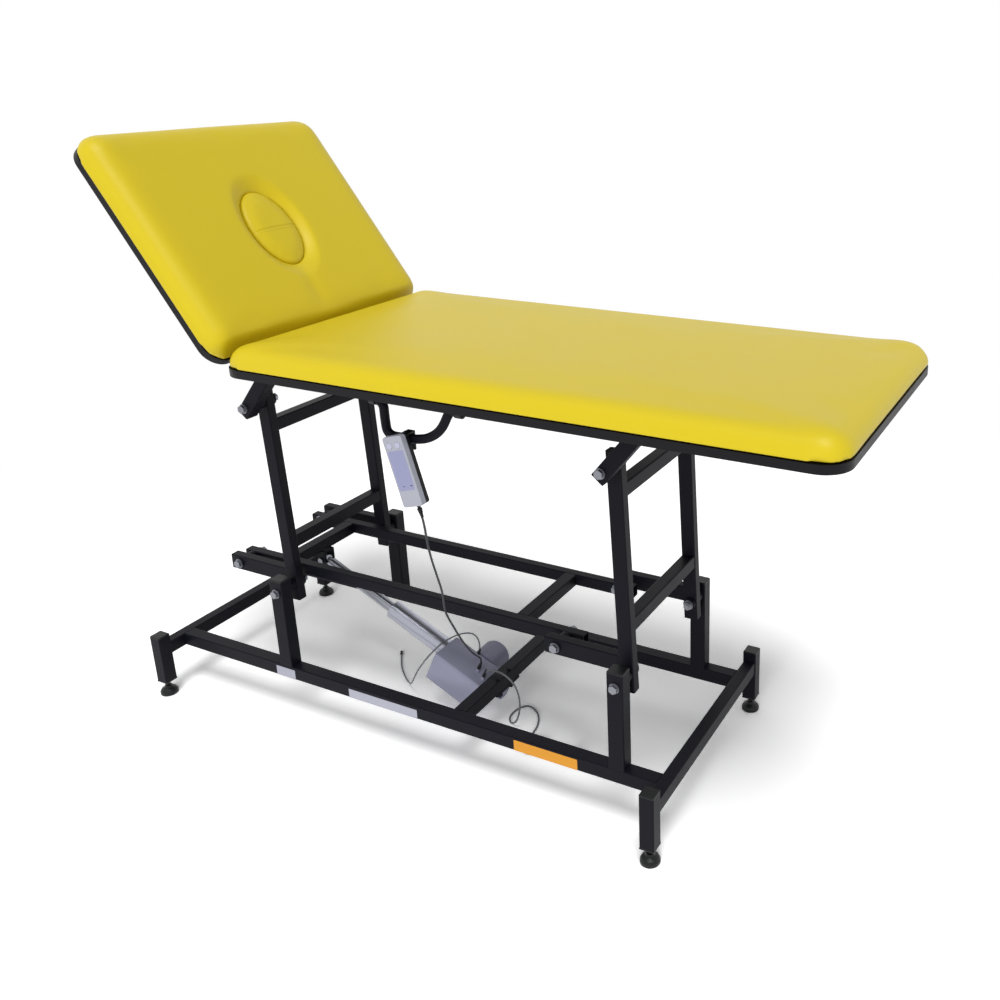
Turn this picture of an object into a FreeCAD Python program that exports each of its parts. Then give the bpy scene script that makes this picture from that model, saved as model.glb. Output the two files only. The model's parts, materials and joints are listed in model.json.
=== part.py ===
import FreeCAD, Part
import math
import os

V = FreeCAD.Vector

# Frame of the table: X along it with the foot end at plus, Y across it with the near side at minus, Z up.

# Base frame
post_spacing = 1457.0
post_width = 35.0
post_x_head = -912.5
post_y = 300.0
post_low = 42.75
post_high = 174.0
base_tube = 35.0
end_tube_width = 30.0
base_tube_low = 116.0
rail_y = 220.0
upright_depth = 40.0
upright_x_head = -528.0
upright_spacing = 961.0
upright_over = 32.0
frame_wall = 2.5
corner_round = 3.0
crossbar_x = -8.0

# Levelling feet
foot_diameter = 45.0
foot_stem_radius = 5.0
foot_travel = 12.0

# Leg frames
pivot_height = 359.0
leg_lean = -20.6
leg_reach = 488.0
leg_depth = 35.0
leg_thickness = 25.0
leg_y = 170.0
leg_below = 43.0
leg_above = 27.0
leg_tube = 32.0
leg_low_tube = 113.0
leg_high_tube = 426.0
boss_diameter = 30.0
boss_inner_y = 150.0
crank_reach = 178.0
crank_rise = 22.0
crank_depth = 40.0
crank_tail = 28.0
bolt_radius = 6.0
running_fit = 0.05
washer_gap = 0.2

# Middle frame
bar_y = 122.5
bar_width = 25.0
bar_drop = 17.0
bar_depth = 30.0
bar_head_overhang = 28.0
bar_foot_overhang = 45.0
middle_tube_head_x = -597.5
middle_tube_foot_x = 123.5
middle_tube_width = 32.0

# Top frame
top_rail_depth = 35.0
top_rail_width = 35.0
top_rail_low = 933.0
top_head_x = -524.0
top_foot_x = 880.0
top_tube_xs = (-432.0, -180.0, 800.0)
hanger_depth = 33.0
hanger_angle = 50.3
hanger_offset = 5.0
hanger_below = 21.0

# Seat section
seat_head_x = -483.0
seat_foot_x = 935.0
seat_half_width = 350.0
board_thickness = 18.0
cushion_thickness = 51.0
plan_corner = 57.0
cushion_round = 38.0
cushion_joint_round = 14.0

# Backrest section
hinge_x = -504.0
hinge_z = 955.0
rest_angle = 53.0
hinge_to_board = 13.5
back_start = 21.0
back_length = 587.0
back_corner = 50.0
bevel_slope = 0.637
back_rail = 25.0
back_rail_y = 180.0
back_rail_length = 470.0
torsion_radius = 15.0
hinge_bolt_radius = 5.0
face_centre = 300.0
face_long = 212.0
face_wide = 140.0
face_ledge = 16.0
plug_gap = 0.8
plug_round = 10.0
rim_round = 8.0

# Gas spring
lever_length = 60.0
lever_lead = 5.0
gas_lug_drop = 43.0
gas_cylinder_radius = 11.0
gas_cylinder_start = 16.0
gas_cylinder_end = 265.0
gas_rod_radius = 5.0
gas_rod_length = 176.0
gas_pin_radius = 5.0
gas_eye_radius = 17.0
gas_open_pivot = 5.6

# Actuator
rod_pin_ahead = 9.0
rod_pin_drop = 28.0
body_pin_behind = 32.5
body_pin_drop = 36.5
rod_radius = 14.0
outer_radius = 25.0
outer_wall = 2.5
outer_mouth = 360.0
outer_tail = 173.0
rod_length = 280.0
actuator_pin_radius = 5.0
pin_travel_back = 15.0
pin_travel_front = 14.2
pin_travel_up = 10.2
pin_travel_down = 11.3
eye_wall = 3.8
housing_start = 26.0
housing_low = -60.0
housing_high = 30.0
housing_front_y = -68.0
housing_rear_y = 30.0
motor_radius = 40.0
motor_end_y = 104.0

# Hand control and its loop
loop_y = -302.0
loop_radius = 10.0
loop_axis_z = 955.0
loop_low_z = 878.0
loop_left_x = -61.0
loop_right_x = 104.0
hand_width = 52.0
hand_length = 155.0
hand_depth = 25.0
hand_tilt = 16.0
hand_top_x = -20.5
hand_top_z = 892.0

# Cords
hand_cord_diameter = 5.0
mains_diameter = 5.0
lead_diameter = 4.0
coil_entry_x = 84.0
coil_y = -81.0
coil_radius = 33.0
coil_height = 15.0
coil_section = 15.0
plug_tail = 30.0
plug_sleeve = 28.0


def box(x0, x1, y0, y1, z0, z1):
    return Part.makeBox(x1 - x0, y1 - y0, z1 - z0, V(x0, y0, z0))


def rounded_box(x0, x1, y0, y1, z0, z1, radius, axis):
    solid = box(x0, x1, y0, y1, z0, z1)
    edges = []
    for edge in solid.Edges:
        direction = edge.Vertexes[1].Point.sub(edge.Vertexes[0].Point)
        direction.normalize()
        if abs(direction.dot(axis)) > 0.99:
            edges.append(edge)
    return solid.makeFillet(radius, edges)


def cylinder_y(x, z, radius, y0, y1):
    return Part.makeCylinder(radius, y1 - y0, V(x, y0, z), V(0, 1, 0))


def hex_y(x, z, flats, y0, y1):
    radius = flats / math.sqrt(3.0)
    points = []
    for k in range(7):
        angle = math.radians(60.0 * k + 30.0)
        points.append(V(x + radius * math.cos(angle), y0, z + radius * math.sin(angle)))
    return Part.Face(Part.makePolygon(points)).extrude(V(0, y1 - y0, 0))


def mirror_y(shape):
    return shape.mirror(V(0, 0, 0), V(0, 1, 0))


def tilted(shape, origin, elevation):
    moved = shape.copy()
    moved.rotate(V(0, 0, 0), V(0, -1, 0), elevation)
    moved.translate(origin)
    return moved


def tube_along(length, wide_y, deep, wall, radius):
    outer = rounded_box(0, length, -wide_y / 2, wide_y / 2, -deep / 2, deep / 2, radius, V(1, 0, 0))
    inner = box(-1, length + 1, wall - wide_y / 2, wide_y / 2 - wall, wall - deep / 2, deep / 2 - wall)
    return outer.cut(inner)


def tube_across(x, z, half_length, wide_x, deep, wall):
    y0 = -half_length
    y1 = half_length
    outer = rounded_box(x - wide_x / 2, x + wide_x / 2, y0, y1, z - deep / 2, z + deep / 2, corner_round, V(0, 1, 0))
    inner = box(x - wide_x / 2 + wall, x + wide_x / 2 - wall, y0 - 1, y1 + 1, z - deep / 2 + wall, z + deep / 2 - wall)
    return outer.cut(inner)


def bolt_near(x, z, radius, head_y, nut_y, end_y, spacer=None):
    flats = 3.0 * radius
    washer = 2.0 * radius
    parts = [cylinder_y(x, z, radius, head_y, end_y)]
    parts.append(cylinder_y(x, z, washer, head_y - 2.5, head_y))
    parts.append(hex_y(x, z, flats, head_y - 2.5 - 1.25 * radius, head_y - 2.5))
    parts.append(cylinder_y(x, z, washer, nut_y, nut_y + 2.0))
    parts.append(hex_y(x, z, flats, nut_y + 2.0, nut_y + 2.0 + 1.6 * radius))
    if spacer:
        parts.append(cylinder_y(x, z, washer, spacer[0], spacer[1]))
    return parts[0].multiFuse(parts[1:]).removeSplitter()


def both_sides(shape):
    return [shape, mirror_y(shape)]


def routed_bar(points, radius, arc_limit=None):
    runs = []
    for a, b in zip(points[:-1], points[1:]):
        runs.append(b.sub(a).Length)
    edges = []
    radii = []
    last = points[0]
    for k in range(1, len(points) - 1):
        before = points[k].sub(points[k - 1])
        after = points[k + 1].sub(points[k])
        before.normalize()
        after.normalize()
        turn = before.getAngle(after)
        reach = 0.45 * min(runs[k - 1], runs[k])
        arc_radius = reach / math.tan(turn / 2)
        if arc_limit and arc_radius > arc_limit:
            arc_radius = arc_limit
            reach = arc_radius * math.tan(turn / 2)
        start = points[k].sub(before * reach)
        end = points[k].add(after * reach)
        inward = after.sub(before)
        inward.normalize()
        centre_distance = arc_radius / math.cos(turn / 2)
        middle = points[k].add(inward * (centre_distance - arc_radius))
        edges.append(Part.makeLine(last, start))
        edges.append(Part.Arc(start, middle, end).toShape())
        radii.append(round(arc_radius, 1))
        last = end
    edges.append(Part.makeLine(last, points[-1]))
    path = Part.Wire(edges)
    first = points[1].sub(points[0])
    profile = Part.Wire([Part.makeCircle(radius, points[0], first)])
    solid = path.makePipeShell([profile], True, False)
    expected = path.Length * math.pi * radius * radius
    print("bar radii", radii, "volume ratio", round(solid.Volume / expected, 4), "length", round(path.Length, 1))
    return solid


nodes = {}

# Derived places
post_x_foot = post_x_head + post_spacing
upright_x_foot = upright_x_head + upright_spacing
base_tube_top = base_tube_low + base_tube
base_tube_mid = base_tube_low + base_tube / 2
rail_inner = rail_y - base_tube / 2
rail_outer = rail_y + base_tube / 2
end_inner_head = post_x_head + end_tube_width / 2
end_inner_foot = post_x_foot - end_tube_width / 2
leg_angle = math.degrees(math.atan2(leg_reach, leg_lean))
leg_length = math.hypot(leg_lean, leg_reach)
leg_direction = V(leg_lean / leg_length, 0, leg_reach / leg_length)
leg_inner_y = leg_y - leg_thickness / 2
leg_outer_y = leg_y + leg_thickness / 2
pivots = {"head": upright_x_head, "foot": upright_x_foot}
upright_top = pivot_height + upright_over
crank_z = pivot_height + crank_rise
bar_low = crank_z - bar_drop
gas_lug_z = top_rail_low - gas_lug_drop
rod_pin = V(middle_tube_head_x + rod_pin_ahead, 0.0, bar_low - rod_pin_drop)
body_pin = V(crossbar_x - body_pin_behind, 0.0, base_tube_low - body_pin_drop)
boss_outer_y = rail_inner - washer_gap
bolt_bore = bolt_radius + running_fit

# Base side frames: a long rail with two uprights, the lower pivot bolts pass through the uprights
rail_length = end_inner_foot - end_inner_head
rail = tube_along(rail_length, base_tube, base_tube, frame_wall, corner_round)
rail.translate(V(end_inner_head, -rail_y, base_tube_mid))
side = rail
for x in pivots.values():
    post = tube_along(upright_top - base_tube_top + 1.0, base_tube, upright_depth, frame_wall, corner_round)
    post = tilted(post, V(x, -rail_y, base_tube_top - 1.0), 90.0)
    side = side.fuse(post)
for x in pivots.values():
    side = side.cut(cylinder_y(x, pivot_height, bolt_bore, -rail_outer - 1, -rail_inner + 1))
side = side.removeSplitter()
nodes["side_frame_front"] = side
nodes["side_frame_rear"] = mirror_y(side)

# Base end frames: a cross tube between two leg posts
for name, x in (("head", post_x_head), ("foot", post_x_foot)):
    inner_y = post_y - post_width / 2
    cross = tube_across(x, base_tube_mid, inner_y + 1.0, end_tube_width, base_tube, frame_wall)
    end = cross
    for y in (-post_y, post_y):
        post = tube_along(post_high - post_low, post_width, post_width, frame_wall, corner_round)
        end = end.fuse(tilted(post, V(x, y, post_low), 90.0))
    nodes["base_end_" + name] = end.removeSplitter()

# Cross tube that carries the actuator, bored for the two bracket bolts
crossbar = tube_across(crossbar_x, base_tube_mid, rail_inner, base_tube, base_tube, frame_wall)
bracket_bolt_x = crossbar_x + 12.0
bracket_bolt_ys = (-57.0, -7.0)
for y in bracket_bolt_ys:
    crossbar = crossbar.cut(Part.makeCylinder(4.0 + running_fit, base_tube + 2, V(bracket_bolt_x, y, base_tube_low - 1)))
nodes["actuator_crossbar"] = crossbar

# Domed caps on posts and uprights, threaded inserts in the feet of the posts
plugs = []
for x in (post_x_head, post_x_foot):
    for y in (-post_y, post_y):
        half = post_width / 2
        cap = rounded_box(x - half, x + half, y - half, y + half, post_high, post_high + 4.0, corner_round, V(0, 0, 1))
        top_edges = [e for e in cap.Edges if e.BoundBox.ZMin > post_high + 3.9]
        cap = cap.makeChamfer(1.8, top_edges)
        neck = half - frame_wall - running_fit
        plugs.append(cap.fuse(box(x - neck, x + neck, y - neck, y + neck, post_high - 12.0, post_high)).removeSplitter())
        insert = box(x - neck, x + neck, y - neck, y + neck, post_low, post_low + 20.0)
        flange = box(x - half, x + half, y - half, y + half, post_low - 3.0, post_low)
        insert = insert.fuse(flange)
        bore = Part.makeCylinder(foot_stem_radius + running_fit, 40.0, V(x, y, post_low - 5.0))
        plugs.append(insert.cut(bore).removeSplitter())
for x in pivots.values():
    for y in (-rail_y, rail_y):
        hx = upright_depth / 2
        hy = base_tube / 2
        cap = rounded_box(x - hx, x + hx, y - hy, y + hy, upright_top, upright_top + 4.0, corner_round, V(0, 0, 1))
        top_edges = [e for e in cap.Edges if e.BoundBox.ZMin > upright_top + 3.9]
        cap = cap.makeChamfer(1.8, top_edges)
        nx = hx - frame_wall - running_fit
        ny = hy - frame_wall - running_fit
        plugs.append(cap.fuse(box(x - nx, x + nx, y - ny, y + ny, upright_top - 12.0, upright_top)).removeSplitter())
nodes["tube_plugs"] = Part.makeCompound(plugs)

# Levelling feet: threaded stem in a domed round pad
places = (("head_front", post_x_head, -post_y), ("head_rear", post_x_head, post_y))
places = places + (("foot_front", post_x_foot, -post_y), ("foot_rear", post_x_foot, post_y))
for name, x, y in places:
    r = foot_diameter / 2
    profile = Part.makePolygon([V(0, 0, 0), V(r - 1.5, 0, 0), V(r, 0, 1.5), V(r, 0, 8.0), V(r - 3.5, 0, 14.0),
                                V(11.0, 0, 19.0), V(9.0, 0, 24.0), V(0, 0, 24.0), V(0, 0, 0)])
    pad = Part.Face(profile).revolve(V(0, 0, 0), V(0, 0, 1), 360)
    locknut = Part.makeCylinder(8.0, 7.0, V(0, 0, post_low - 3.0 - 0.3 - 7.0))
    stem = Part.makeCylinder(foot_stem_radius, post_low + 18.0 - 22.0, V(0, 0, 22.0))
    foot = pad.fuse(stem).fuse(locknut).removeSplitter()
    foot.translate(V(x, y, 0))
    nodes["levelling_foot_" + name] = foot

# Leg frames: slanted legs with a crank arm toward the head end, bearing bosses through both
for name, x in pivots.items():
    pivot = V(x, 0, pivot_height)
    start = pivot.sub(leg_direction * leg_below)
    total = leg_length + leg_below + leg_above
    near = V(0, -leg_y, 0)
    outer = rounded_box(0, total, -leg_thickness / 2, leg_thickness / 2, -leg_depth / 2, leg_depth / 2,
                        corner_round, V(1, 0, 0))
    wall = 2.0
    hollow = box(4, total - 4, wall - leg_thickness / 2, leg_thickness / 2 - wall, wall - leg_depth / 2, leg_depth / 2 - wall)
    leg = tilted(outer.cut(hollow), start.add(near), leg_angle)
    arm_start = leg_depth / 2 - 1.0
    arm_length = crank_reach + crank_tail - arm_start
    arm_outer = rounded_box(0, arm_length, -leg_thickness / 2, leg_thickness / 2, -crank_depth / 2, crank_depth / 2,
                            corner_round, V(1, 0, 0))
    arm_hollow = box(3, arm_length - 4, wall - leg_thickness / 2, leg_thickness / 2 - wall,
                     wall - crank_depth / 2, crank_depth / 2 - wall)
    arm = arm_outer.cut(arm_hollow)
    arm = tilted(arm, V(x - arm_start, -leg_y, pivot_height + crank_rise), 180.0)
    leg = leg.fuse(arm)
    upper = pivot.add(leg_direction * leg_length)
    crank = V(x - crank_reach, 0, pivot_height + crank_rise)
    boss_r = boss_diameter / 2
    leg = leg.fuse(cylinder_y(pivot.x, pivot.z, boss_r, -boss_outer_y, -boss_inner_y))
    leg = leg.fuse(cylinder_y(upper.x, upper.z, boss_r, -boss_outer_y, -boss_inner_y))
    bar_outer = bar_y + bar_width / 2
    leg = leg.fuse(cylinder_y(crank.x, crank.z, 14.0, -leg_outer_y - 1.5, -bar_outer - washer_gap))
    leg = leg.cut(cylinder_y(pivot.x, pivot.z, bolt_bore, -boss_outer_y - 1, -boss_inner_y + 1))
    leg = leg.cut(cylinder_y(upper.x, upper.z, bolt_bore, -boss_outer_y - 1, -boss_inner_y + 1))
    leg = leg.cut(cylinder_y(crank.x, crank.z, bolt_bore, -leg_outer_y - 3, -bar_outer + 1))
    leg = leg.removeSplitter()
    nodes["leg_" + name + "_front"] = leg
    nodes["leg_" + name + "_rear"] = mirror_y(leg)
    for level, distance in (("low", leg_low_tube), ("high", leg_high_tube)):
        centre = pivot.add(leg_direction * distance)
        tube = tube_across(0, 0, leg_inner_y, leg_tube, leg_tube, wall)
        tube.rotate(V(0, 0, 0), V(0, -1, 0), leg_angle - 90.0)
        tube.translate(V(centre.x, 0, centre.z))
        nodes["leg_" + name + "_" + level + "_tube"] = tube

# Lower and upper pivot bolts, all the same M12 size
low_bolts = []
high_bolts = []
for x in pivots.values():
    near_bolt = bolt_near(x, pivot_height, bolt_radius, -rail_outer, -boss_inner_y + washer_gap, -136.2)
    low_bolts += both_sides(near_bolt)
    upper_x = x + leg_lean
    upper_z = pivot_height + leg_reach
    near_bolt = bolt_near(upper_x, upper_z, bolt_radius, -rail_outer, -boss_inner_y + washer_gap, -136.2)
    high_bolts += both_sides(near_bolt)
nodes["lower_pivot_bolts"] = Part.makeCompound(low_bolts)
nodes["upper_pivot_bolts"] = Part.makeCompound(high_bolts)

# Middle frame: two bars tied by two cross tubes, bolts through the crank arms
bar_mid = bar_low + bar_depth / 2
crank_x_head = upright_x_head - crank_reach
crank_x_foot = upright_x_foot - crank_reach
bar_start = crank_x_head - bar_head_overhang
bar_end = crank_x_foot + bar_foot_overhang
bar = tube_along(bar_end - bar_start, bar_width, bar_depth, 2.0, corner_round)
bar.translate(V(bar_start, -bar_y, bar_mid))
for x in (crank_x_head, crank_x_foot):
    bar = bar.cut(cylinder_y(x, crank_z, bolt_bore, -bar_y - bar_width, -bar_y + bar_width))
nodes["middle_bar_front"] = bar
nodes["middle_bar_rear"] = mirror_y(bar)
bar_inner = bar_y - bar_width / 2
foot_tube = tube_across(middle_tube_foot_x, bar_mid, bar_inner, middle_tube_width, bar_depth, 2.0)
nodes["middle_tube_foot"] = foot_tube
head_tube = tube_across(middle_tube_head_x, bar_mid, bar_inner, middle_tube_width, bar_depth, 2.0)
fork_half = 12.0
lug_plates = []
for y0, y1 in ((-fork_half - 6.0, -fork_half), (fork_half, fork_half + 6.0)):
    plate = box(rod_pin.x - 15.0, rod_pin.x + 15.0, y0, y1, rod_pin.z, bar_low)
    plate = plate.fuse(cylinder_y(rod_pin.x, rod_pin.z, 15.0, y0, y1))
    plate = plate.cut(cylinder_y(rod_pin.x, rod_pin.z, actuator_pin_radius + running_fit, y0 - 1, y1 + 1))
    lug_plates.append(plate)
nodes["middle_tube_head"] = head_tube.multiFuse(lug_plates).removeSplitter()
middle_pins = []
for x in (crank_x_head, crank_x_foot):
    near_bolt = bolt_near(x, crank_z, bolt_radius, -leg_outer_y - 1.5 - washer_gap, -bar_inner, -bar_inner + 14.0)
    middle_pins += both_sides(near_bolt)
pin = cylinder_y(rod_pin.x, rod_pin.z, actuator_pin_radius, -fork_half - 7.5, fork_half + 7.5)
pin = pin.fuse(cylinder_y(rod_pin.x, rod_pin.z, 8.0, -fork_half - 10.5, -fork_half - 7.5))
pin = pin.fuse(cylinder_y(rod_pin.x, rod_pin.z, 8.0, fork_half + 7.5, fork_half + 9.5))
middle_pins.append(pin.removeSplitter())
nodes["middle_frame_bolts"] = Part.makeCompound(middle_pins)

# Top frame: side rails with welded slanted hangers, three cross tubes
top_mid = top_rail_low + top_rail_depth / 2
rail = tube_along(top_foot_x - top_head_x, top_rail_width, top_rail_depth, frame_wall, corner_round)
rail.translate(V(top_head_x, -rail_y, top_mid))
hanger_direction = V(math.cos(math.radians(hanger_angle)), 0, math.sin(math.radians(hanger_angle)))
top_side = rail
for x in pivots.values():
    upper = V(x + leg_lean, 0, pivot_height + leg_reach)
    low_end = V(upper.x + hanger_offset, -rail_y, upper.z).sub(hanger_direction * hanger_below)
    hanger_run = (top_rail_low - low_end.z) / hanger_direction.z + 2 * hanger_depth
    long_tube = tube_along(hanger_run, top_rail_width, hanger_depth, frame_wall, corner_round)
    long_tube = tilted(long_tube, low_end, hanger_angle)
    keep = box(upper.x - hanger_run, upper.x + hanger_run, -rail_outer - 1, -rail_inner + 1, low_end.z - hanger_depth,
               top_rail_low + 0.5)
    top_side = top_side.fuse(long_tube.common(keep))
for x in pivots.values():
    upper = V(x + leg_lean, 0, pivot_height + leg_reach)
    top_side = top_side.cut(cylinder_y(upper.x, upper.z, bolt_bore, -rail_outer - 1, -rail_inner + 1))
hinge_bore = hinge_bolt_radius + running_fit
top_side = top_side.cut(cylinder_y(hinge_x, hinge_z, hinge_bore, -rail_outer - 1, -rail_inner + 1))
top_side = top_side.removeSplitter()
nodes["top_side_front"] = top_side
nodes["top_side_rear"] = mirror_y(top_side)
tube_names = ("head", "middle", "foot")
for name, x in zip(tube_names, top_tube_xs):
    tube = tube_across(x, top_mid, rail_inner, 35.0, top_rail_depth, 2.0)
    if name == "middle":
        lugs = []
        for y0, y1 in ((-18.0, -12.0), (12.0, 18.0)):
            plate = box(x - 13.0, x + 13.0, y0, y1, gas_lug_z, top_rail_low)
            plate = plate.fuse(cylinder_y(x, gas_lug_z, 13.0, y0, y1))
            lugs.append(plate)
        lugs.append(cylinder_y(x, gas_lug_z, gas_pin_radius, -21.0, 21.0))
        tube = tube.multiFuse(lugs).removeSplitter()
    nodes["top_tube_" + name] = tube

# Padded sections, built flat and cut back beside the hinge so that they meet only in the raised end position
board_low = top_rail_low + top_rail_depth
cushion_low = board_low + board_thickness
cushion_top = cushion_low + cushion_thickness


def pad_solid(x0, x1, z0, z1, corner, top_round, bevel_sign):
    y = seat_half_width
    solid = rounded_box(x0, x1, -y, y, z0, z1, corner, V(0, 0, 1))
    if top_round:
        edges = [e for e in solid.Edges if e.BoundBox.ZMin > z1 - 0.01]
        solid = solid.makeFillet(top_round, edges)
    if bevel_sign:
        reach = bevel_slope * (z1 + 10 - hinge_z) + 1.0
        low = bevel_slope * (z0 - 10 - hinge_z) + 1.0
        far = -200.0 * bevel_sign
        corners = [V(hinge_x + bevel_sign * low, -y - 5, z0 - 10), V(hinge_x + bevel_sign * reach, -y - 5, z1 + 10),
                   V(hinge_x + far, -y - 5, z1 + 10), V(hinge_x + far, -y - 5, z0 - 10)]
        wedge = Part.Face(Part.makePolygon(corners + [corners[0]])).extrude(V(0, 2 * y + 10, 0))
        solid = solid.cut(wedge)
        crest = [e for e in solid.Edges if e.BoundBox.YLength > y and e.BoundBox.ZMin > z1 - 3.0
                 and abs(abs(e.BoundBox.XMin - hinge_x) - bevel_slope * (e.BoundBox.ZMin - hinge_z) - 1.0) < 0.1]
        solid = solid.makeFillet(cushion_joint_round, crest)
    return solid


seat_board = pad_solid(seat_head_x, seat_foot_x, board_low, cushion_low, plan_corner, 0, 0)
nodes["seat_board"] = seat_board
nodes["seat_cushion"] = pad_solid(seat_head_x, seat_foot_x, cushion_low, cushion_top, plan_corner, cushion_round, 1)

back_board_low = hinge_z + hinge_to_board
back_cushion_low = back_board_low + board_thickness
back_top = back_cushion_low + cushion_thickness - 0.5
back_x1 = hinge_x - back_start
back_x0 = back_x1 - back_length


def oval(long_size, wide_size, z0, z1):
    ring = Part.Ellipse(V(hinge_x - face_centre, 0, z0), long_size / 2, wide_size / 2)
    return Part.Face(Part.Wire([ring.toShape()])).extrude(V(0, 0, z1 - z0))


def raised(shape):
    moved = shape.copy()
    moved.rotate(V(hinge_x, 0, hinge_z), V(0, 1, 0), rest_angle)
    return moved


back_board = pad_solid(back_x0, back_x1, back_board_low, back_cushion_low, back_corner, 0, 0)
hole = oval(face_long - 2 * face_ledge, face_wide - 2 * face_ledge, back_board_low - 1, back_cushion_low + 1)
nodes["backrest_board"] = raised(back_board.cut(hole))
back_cushion = pad_solid(back_x0, back_x1, back_cushion_low, back_top, back_corner, cushion_round, -1)
back_cushion = back_cushion.cut(oval(face_long, face_wide, back_cushion_low - 1, back_top + 1))
rim = [e for e in back_cushion.Edges if e.BoundBox.ZMin > back_top - 0.01 and e.BoundBox.XLength > face_long - 1
       and e.BoundBox.XLength < face_long + 1 and e.BoundBox.YLength < face_wide + 1]
back_cushion = back_cushion.makeFillet(rim_round, rim)
nodes["backrest_cushion"] = raised(back_cushion)
plug = oval(face_long - 2 * plug_gap, face_wide - 2 * plug_gap, back_cushion_low, back_top)
plug = plug.makeFillet(plug_round, [e for e in plug.Edges if e.BoundBox.ZMin > back_top - 0.01])
nodes["face_plug"] = raised(plug)

# Backrest frame: side rails on the hinge bolts, torsion tube between them with the two lever plates
rail_centre = back_board_low - back_rail / 2
for name, side_sign in (("front", -1), ("rear", 1)):
    rail = tube_along(back_rail_length + 14.0, back_rail, back_rail, 2.0, 2.5)
    rail.translate(V(hinge_x - back_rail_length, side_sign * back_rail_y, rail_centre))
    rail = rail.cut(cylinder_y(hinge_x, hinge_z, hinge_bore, side_sign * back_rail_y - 20, side_sign * back_rail_y + 20))
    nodes["backrest_rail_" + name] = raised(rail)
back_rail_inner = back_rail_y - back_rail / 2
back_rail_outer = back_rail_y + back_rail / 2
torsion = cylinder_y(hinge_x, hinge_z, torsion_radius, -back_rail_inner, back_rail_inner)
lever_rad = math.radians(lever_lead)
lever_pin_x = hinge_x - lever_length * math.sin(lever_rad)
lever_pin_z = hinge_z - lever_length * math.cos(lever_rad)
for y0, y1 in ((-18.0, -12.0), (12.0, 18.0)):
    arm = box(0, lever_length, 0, 6.0, -11.0, 11.0)
    arm.rotate(V(0, 0, 0), V(0, -1, 0), -90.0 - lever_lead)
    arm.translate(V(hinge_x, y0, hinge_z))
    arm = arm.fuse(cylinder_y(lever_pin_x, lever_pin_z, 11.0, y0, y1))
    torsion = torsion.fuse(arm)
torsion = torsion.cut(cylinder_y(hinge_x, hinge_z, torsion_radius - 2.0, -back_rail_inner - 1, back_rail_inner + 1))
torsion = torsion.fuse(cylinder_y(lever_pin_x, lever_pin_z, gas_pin_radius, -21.0, 21.0))
nodes["backrest_lever_tube"] = raised(torsion.removeSplitter())
hinge_bolt = bolt_near(hinge_x, hinge_z, hinge_bolt_radius, -rail_outer, -back_rail_inner + washer_gap,
                       -back_rail_inner + 14.0, (-rail_inner, -back_rail_outer - washer_gap))
nodes["backrest_hinge_bolts"] = Part.makeCompound(both_sides(hinge_bolt))

# Gas spring between the lever plates and the middle cross tube of the top frame
lug = V(top_tube_xs[1], 0, gas_lug_z)
raised_pin = raised(Part.Vertex(V(lever_pin_x, 0, lever_pin_z))).Point
gas_line = raised_pin.sub(lug)
gas_length = gas_line.Length
gas_elevation = math.degrees(math.atan2(gas_line.z, gas_line.x))
print("gas spring length", round(gas_length, 3), "elevation", round(gas_elevation, 4), "pin", raised_pin)


def along_x(radius, x0, x1):
    return Part.makeCylinder(radius, x1 - x0, V(x0, 0, 0), V(1, 0, 0))


cylinder = along_x(gas_cylinder_radius, gas_cylinder_start, gas_cylinder_end)
cylinder = cylinder.fuse(cylinder_y(0, 0, 11.0, -9.0, 9.0)).fuse(along_x(7.0, 8.0, 20.0))
cylinder = cylinder.cut(cylinder_y(0, 0, gas_pin_radius + running_fit, -10.0, 10.0))
cylinder = cylinder.cut(along_x(gas_cylinder_radius - 1.5, 60.0, gas_cylinder_end - 12.0))
cylinder = cylinder.cut(along_x(gas_rod_radius + running_fit, gas_cylinder_end - 13.0, gas_cylinder_end + 1.0))
nodes["gas_spring_cylinder"] = tilted(cylinder.removeSplitter(), lug, gas_elevation)
rod = along_x(gas_rod_radius, gas_length - gas_rod_length, gas_length - gas_eye_radius + 3.0)
rod = rod.fuse(along_x(gas_cylinder_radius - 1.6, gas_length - gas_rod_length, gas_length - gas_rod_length + 10.0))
rod = rod.fuse(cylinder_y(gas_length, 0, gas_eye_radius, -9.0, 9.0))
rod = rod.cut(cylinder_y(gas_length, 0, gas_pin_radius + gas_open_pivot, -10.0, 10.0))
nodes["gas_spring_rod"] = tilted(rod.removeSplitter(), lug, gas_elevation)

# Actuator, built along its own line from the body pin to the rod pin
actuator_line = rod_pin.sub(body_pin)
actuator_length = actuator_line.Length
actuator_elevation = math.degrees(math.atan2(actuator_line.z, actuator_line.x))
print("actuator length", round(actuator_length, 3), "elevation", round(actuator_elevation, 4))


def on_actuator(shape):
    flipped = shape.copy()
    return tilted(flipped, body_pin, actuator_elevation)


outer = along_x(outer_radius, outer_tail, outer_mouth)
outer = outer.cut(along_x(outer_radius - outer_wall, outer_tail - 1.0, outer_mouth - 12.0))
outer = outer.cut(along_x(rod_radius + running_fit, outer_mouth - 13.0, outer_mouth + 1.0))
nodes["actuator_outer_tube"] = on_actuator(outer)
rod = along_x(rod_radius, actuator_length - rod_length, actuator_length - 22.0)
rod = rod.cut(along_x(rod_radius - 3.0, actuator_length - rod_length - 1.0, actuator_length - 40.0))
rod = rod.fuse(along_x(10.0, actuator_length - 24.0, actuator_length - 6.0))
rod = rod.fuse(cylinder_y(actuator_length, 0, 13.0, -fork_half + 0.5, fork_half - 0.5))
rod = rod.cut(cylinder_y(actuator_length, 0, actuator_pin_radius + running_fit, -fork_half, fork_half))
nodes["actuator_rod"] = on_actuator(rod.removeSplitter())

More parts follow.
